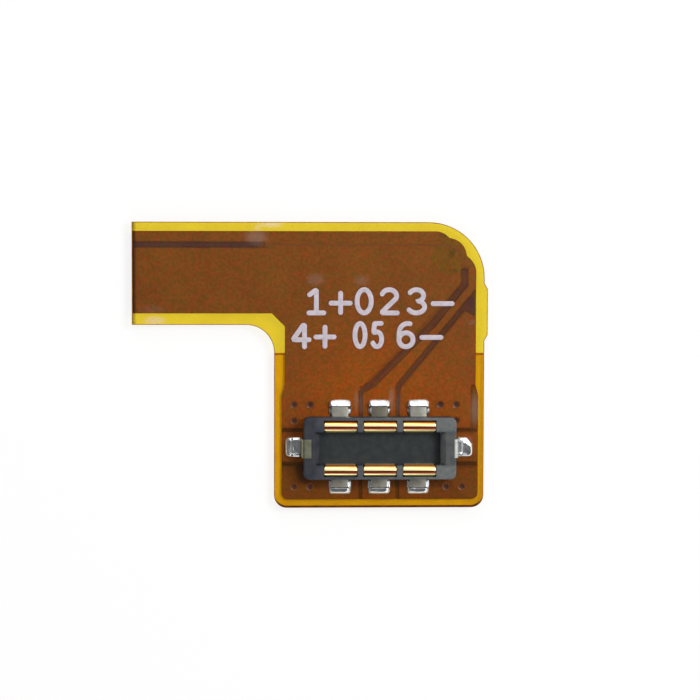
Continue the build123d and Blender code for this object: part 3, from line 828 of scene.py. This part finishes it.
# Solder: a mound on each land, with the flat of the tail left showing
solderShape = {
    "squareness": 5.0,
    "cornerReach": 2.0,  # below about 1.6 it cuts off the upper outer corner
    "cornerGuard": 0.1,  # and it cuts no other
    "rimFrom": 0.66,  # share of the radius where the mound begins to fall
    "rimPowers": (2.0, 0.5),  # a quarter ellipse
    "sideHeight": 0.094,  # above the film
    "ridgeHeight": 0.185,  # just past the tail
    "endHeight": 0.060,  # where the slope meets the rim
    "ridge": 0.42,  # from the wall
    "ridgeRun": 0.12,  # how far it takes to rise to the ridge
    "slopePower": 1.3,
    "tailHeight": 0.088,
    "tail": (0.36, 0.325),  # its reach from the wall, and its half width
    "blend": 0.05,
    "wall": 0.027,  # height of the mound's upright side, in the film's window
    "lump": 0.011,
    "waves": (5, 12),  # least and most radians for each mm
    "waveCount": 4,
    "phase": 6,
    "ringPower": 0.8,  # draws the rings together towards the rim
    "rings": 36,
    "spokes": 88,
}
lowerRow = {"rimPowers": (1.5, 1.0), "endHeight": 0.105, "ridgeHeight": 0.150, "lump": 0.006}


# rings of a rounded square, from the middle to the rim; the height rises to a ridge past the tail, slopes
# down to the outer end, falls to the rim by two powers and dips over the tail, with slow waves on top
def makeSolder(name, outward, seed, **changes):
    shape = {**solderShape, **changes}
    low, high = boxMm(name)
    middle, half = (low[:2] + high[:2]) / 2, (high[:2] - low[:2]) / 2
    along = np.array(outward, float)
    beside = np.array([-along[1], along[0]])
    halfAlong, halfBeside = abs(along @ half), abs(beside @ half)
    share = np.linspace(0, 1, shape["rings"])[:, None] ** shape["ringPower"]
    angle = np.linspace(0, 2 * math.pi, shape["spokes"], endpoint=False)[None, :]
    power = shape["squareness"]
    rim = (np.abs(np.cos(angle)) ** power + np.abs(np.sin(angle)) ** power) ** (-1 / power)
    towards = np.maximum(np.cos(angle) + np.sin(angle), shape["cornerGuard"])
    rim = np.minimum(rim, shape["cornerReach"] / towards)
    u = halfAlong * share * rim * np.cos(angle)
    v = halfBeside * share * rim * np.sin(angle)
    fromWall = u + halfAlong
    inner, outer = shape["rimPowers"]
    fall = (1 - np.clip((share - shape["rimFrom"]) / (1 - shape["rimFrom"]), 0, 1) ** inner) ** outer
    ridge, side, crest = shape["ridge"], shape["sideHeight"], shape["ridgeHeight"]
    body = side + (crest - side) * smoothStep(fromWall, ridge - shape["ridgeRun"], ridge)
    slope = np.clip((fromWall - ridge) / (2 * halfAlong - ridge), 0, 1) ** shape["slopePower"]
    body = body - (crest - shape["endHeight"]) * slope
    draw = np.random.default_rng(seed).uniform
    waves = sum(np.sin(draw(*shape["waves"]) * u + draw(*shape["waves"]) * v + draw(0, shape["phase"]))
                for _ in range(shape["waveCount"]))
    if "fold" in shape:
        (u0, v0), (u1, v1), rise, width = shape["fold"]
        length = math.hypot(u1 - u0, v1 - v0)
        onFold = np.clip(((u - u0) * (u1 - u0) + (v - v0) * (v1 - v0)) / length ** 2, 0, 1)
        offFold = np.hypot(u - u0 - onFold * (u1 - u0), v - v0 - onFold * (v1 - v0))
        body = body + rise * np.exp(-(offFold / width) ** 2)
    height = fall * (body + shape["lump"] * waves / math.sqrt(shape["waveCount"]))
    tailReach, tailHalf = shape["tail"]
    cover = smoothStep(tailHalf + shape["blend"] - np.abs(v), 0, shape["blend"])
    cover = cover * smoothStep(tailReach + shape["blend"] - fromWall, 0, shape["blend"])
    height = height + cover * (np.minimum(height, shape["tailHeight"]) - height)
    place = [middle[axis] + along[axis] * u + beside[axis] * v for axis in (0, 1)]
    rings = np.stack([*place, faceZ + height], axis=-1)
    rings[-1, :, 2] = low[2] + shape["wall"]
    foot = rings[-1:].copy()
    foot[:, :, 2] = low[2]
    piece = skin(name + "Mound", np.concatenate([rings, foot]), solder, sharpAngle=60)
    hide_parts(name)


for number in range(1, 7):
    outward, changes = ((0, 1), {}) if number <= 3 else ((0, -1), lowerRow)
    makeSolder("solder_%d" % number, outward, number, **changes)
makeSolder("solder_left", (-1, 0), 11, tail=(0.46, 0.25), ridgeHeight=0.15, ridge=0.50, endHeight=0.09)
makeSolder("solder_right", (1, 0), 12, tail=(0.26, 0.20), ridgeHeight=0.13, ridge=0.30, endHeight=0.118,
           rimFrom=0.76, cornerReach=1.30, fold=((-0.16, 0.30), (0.26, 0.06), 0.050, 0.050))
print("solder: eight joints")


# Housing and clips: the CAD shapes with their edges eased
easedShape = {"flatAngle": 0.5, "sharpAngle": 30, "segments": 2, "weld": 1e-7}  # degrees, and metres to join


def easeEdges(name, material, width, shape):
    mesh = nodes[name].data.copy()
    flat = math.radians(shape["flatAngle"])
    cleanMesh(mesh, lambda shell: bmesh.ops.dissolve_limit(
        shell, angle_limit=flat, verts=shell.verts, edges=shell.edges), shape["sharpAngle"])
    piece = newObject(name + "Eased", mesh, material)
    bevel = piece.modifiers.new("easedEdges", "BEVEL")
    bevel.width = width * mm
    bevel.segments = shape["segments"]
    bevel.limit_method = "ANGLE"
    bevel.angle_limit = math.radians(shape["sharpAngle"])
    bevel.harden_normals = True
    piece.modifiers.new("joinedPoints", "WELD").merge_threshold = shape["weld"]
    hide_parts(name)


easeEdges("connector_housing", plastic, 0.016, easedShape)
easeEdges("clip_left", tin, 0.012, easedShape)
easeEdges("clip_right", wetTin, 0.012, easedShape)
print("housing and clips: edges eased")


# Outline of the flex, from its box and a few sizes
flexShape = {
    "headWidth": 8.40, "stripWidth": 4.09,
    "outerCorner": 2.24, "innerCorner": 1.12, "endCorner": 0.50, "cutCorner": 0.002,
    "tabDepth": 0.13, "tabLength": 2.28, "tabSlope": 0.22, "tabFromTop": 2.44, "tabCorner": 0.02,
}


def flexLine(shape, step):
    left, bottom = filmLow[:2]
    top, right = filmHigh[1], filmHigh[0] - shape["tabDepth"]
    head, strip = right - shape["headWidth"], top - shape["stripWidth"]
    tabTop, tabBottom = top - shape["tabFromTop"], top - shape["tabFromTop"] - shape["tabLength"]
    tabX, slope = right + shape["tabDepth"], shape["tabSlope"]
    corners = [
        (left, top), (left, strip), (head, strip), (head, bottom), (right, bottom), (right, tabBottom),
        (tabX, tabBottom + slope), (tabX, tabTop - slope), (right, tabTop), (right, top),
    ]
    cut, end, tab = shape["cutCorner"], shape["endCorner"], shape["tabCorner"]
    radii = [cut, cut, shape["innerCorner"], end, end, tab, tab, tab, tab, shape["outerCorner"]]
    return roundedLine(corners, radii, step, closed=True)


# the area inside an outline, more than 0 where it runs anticlockwise
def signedArea(points):
    nextX, nextY = np.roll(points[:, 0], -1), np.roll(points[:, 1], -1)
    return float(np.sum(points[:, 0] * nextY - nextX * points[:, 1])) / 2


# Cut edge: the laser leaves a thin scorched line round the films; along the lower edge it is drawn wider and
# darker
edgeShape = {
    "proud": 0.004, "gap": 0.001, "lift": 0.003, "step": 0.035,
    "lap": 0.026, "lowerLap": 0.085, "lowerBlend": 0.45,
}


# a flat hook of six corners carried round the outline: down the cut face and over the upper edge
def makeCutEdge(shape):
    points, direction = flexLine(flexShape, shape["step"])
    outward = np.stack([-direction[:, 1], direction[:, 0]], axis=1)
    outward = outward * (1 if signedArea(points) < 0 else -1)
    lower = smoothStep(filmLow[1] + shape["lowerBlend"] - points[:, 1], 0, shape["lowerBlend"])
    lap = shape["lap"] + (shape["lowerLap"] - shape["lap"]) * lower
    proud, gap = (shape[key] * np.ones_like(lap) for key in ("proud", "gap"))
    offsets = np.stack([proud, proud, -lap, -lap, gap, gap], axis=1)
    top, under = faceZ + shape["lift"], faceZ + shape["gap"]
    heights = np.array([backZ, top, top, under, under, backZ])
    place = points[:, None, :] + outward[:, None, :] * offsets[:, :, None]
    grid = np.concatenate([place, np.broadcast_to(heights[None, :, None], (*place.shape[:2], 1))], axis=-1)
    piece = skin("cutEdge", grid, scorch, sharpAngle=35, loop=True)


makeCutEdge(edgeShape)
print("cut edge: scorched line")


# Via dimples: the film sinks a little over each via and darkens there
dimpleShape = {
    "radius": 0.160, "depth": 0.026, "rise": 0.0012, "pitch": 0.64,
    "leftX": -3.40, "rightX": 3.10, "upperY": 1.70, "lowerY": -1.60, "lowerRightShift": 0.24,
    "innerShare": 0.02, "blendFrom": 0.50, "rings": 9, "spokes": 28,
}


# a bowl of revolution: height rises with the square of the radius, closed by the same bowl a little lower
def makeDimple(number, x, y, shape):
    outward = np.linspace(shape["innerShare"], 1, shape["rings"])
    share = np.concatenate([outward, outward[::-1]])[:, None]
    angle = np.linspace(0, 2 * math.pi, shape["spokes"], endpoint=False)[None, :]
    under = np.repeat([0, shape["rise"]], shape["rings"])[:, None]
    height = faceZ + shape["rise"] - shape["depth"] * (1 - share ** 2) - under + 0 * angle
    reach = shape["radius"] * share
    across, upward = connectorX + x + reach * np.cos(angle), connectorY + y + reach * np.sin(angle)
    grid = np.stack([across, upward, height], axis=-1)
    blend = smoothStep(np.broadcast_to(share, grid.shape[:2]), shape["blendFrom"], 1.0)
    piece = skin("viaDimple%d" % number, grid, dimpleFillAndShade, sharpAngle=60, blend=blend)


# three vias in an L at each upper corner, and a pair at each lower corner, from the connector's centre
def viaPlaces(shape):
    left, right, pitch = shape["leftX"], shape["rightX"], shape["pitch"]
    upper, lower, shift = shape["upperY"], shape["lowerY"], shape["lowerRightShift"]
    return [(left, upper), (left + pitch, upper), (left, upper - pitch), (left, lower), (left + pitch, lower),
            (right, upper), (right - pitch, upper), (right, upper - pitch),
            (right + shift, lower), (right + shift - pitch, lower)]


for number, (x, y) in enumerate(viaPlaces(dimpleShape), start=1):
    makeDimple(number, x, y, dimpleShape)
print("vias: ten dimples")


# Legend: plain contact numbers with their signs, printed in thick ink
legendShape = {
    "stroke": 0.195, "thick": 0.014, "lift": 0.0008, "height": 0.93, "corner": 0.03, "step": 0.03,
    "capSteps": 7, "capTip": 0.04,  # rows in each round end, and the half width's share at its tip
    "topSteps": 9, "underside": (0.98, 0.0, -0.98), "archPower": 4,
}


def arcPoints(centreX, centreY, radiusX, radiusY, start, end, count=15):
    angle = np.radians(np.linspace(start, end, count))
    return np.stack([centreX + radiusX * np.cos(angle), centreY + radiusY * np.sin(angle)], axis=1)


# strokes of each sign in a box one unit wide and one high
glyphs = {
    "0": [arcPoints(0.5, 0.5, 0.5, 0.5, 90, 450, 33)],
    "1": [[(0.10, 0.78), (0.52, 1.0), (0.52, 0.0)], [(0.06, 0.0), (0.98, 0.0)]],
    "2": [[*arcPoints(0.5, 0.72, 0.46, 0.28, 160, -20), (0.0, 0.0), (1.0, 0.0)]],
    "3": [[*arcPoints(0.45, 0.745, 0.45, 0.255, 150, -80), *arcPoints(0.45, 0.26, 0.52, 0.26, 80, -150)]],
    "4": [[(0.72, 0.0), (0.72, 1.0), (0.0, 0.30), (1.0, 0.30)]],
    "5": [[(0.90, 1.0), (0.16, 1.0), (0.08, 0.56), *arcPoints(0.44, 0.32, 0.52, 0.32, 118, -150)]],
    "6": [[*arcPoints(0.62, 0.60, 0.60, 0.40, 75, 180), *arcPoints(0.5, 0.30, 0.5, 0.30, 180, 540, 29)]],
    "+": [[(0.0, 0.42), (1.0, 0.42)], [(0.5, 0.02), (0.5, 0.84)]],
    "-": [[(0.0, 0.40), (1.0, 0.40)]],
}
# sign, left and right edge of its box and the base line, in the photograph's pixels
legendRows = [
    ("1", 305, 326, 314.8), ("+", 328, 352, 314.8), ("0", 354, 373, 314.8), ("2", 378, 399, 314.8),
    ("3", 406, 427, 314.8), ("-", 430, 454, 314.8),
    ("4", 290, 311, 348.6), ("+", 313, 336, 348.6), ("0", 352, 367, 348.6), ("5", 370, 384, 348.6),
    ("6", 396, 415, 348.6), ("-", 419, 443, 348.6),
]


# the ribbon's half width follows a circle over its two round ends, and its top is a flat arch across
def strokeGrid(line, shape):
    points, direction = roundedLine(line, [shape["corner"]] * (len(line) - 2), shape["step"])
    half, steps = shape["stroke"] / 2, shape["capSteps"]
    cap = np.linspace(math.pi / 2, 0, steps + 1)[:-1]
    head = points[:1] - direction[:1] * half * np.sin(cap)[:, None]
    tail = points[-1:] + direction[-1:] * half * np.sin(cap[::-1])[:, None]
    end = np.maximum(np.cos(cap), shape["capTip"])
    width = half * np.concatenate([end, np.ones(len(points)), end[::-1]])
    points = np.concatenate([head, points, tail])
    direction = np.pad(direction, ((steps, steps), (0, 0)), "edge")
    normal = np.stack([-direction[:, 1], direction[:, 0]], axis=1)
    top, underside = np.linspace(-1, 1, shape["topSteps"]), shape["underside"]
    across = np.concatenate([top, underside])
    arch = np.concatenate([shape["thick"] * (1 - top ** shape["archPower"]), np.zeros(len(underside))])
    place = points[:, None, :] + normal[:, None, :] * (width[:, None] * across)[:, :, None]
    height = faceZ + shape["lift"] + np.broadcast_to(arch, place.shape[:2])
    return np.concatenate([place, height[:, :, None]], axis=-1)


def makeLegend(shape):
    half = shape["stroke"] / 2
    for number, (sign, left, right, base) in enumerate(legendRows, start=1):
        (x0, y0), (x1, y1) = fromPixel(left, base), fromPixel(right, base)
        for part, strokeLine in enumerate(glyphs[sign], start=1):
            line = np.array(strokeLine) * (x1 - x0 - 2 * half, shape["height"]) + (x0 + half, y0 + half)
            piece = skin("legend%d_%d" % (number, part), strokeGrid(line, shape), ink, sharpAngle=60)


makeLegend(legendShape)
print("legend: %d signs" % len(legendRows))
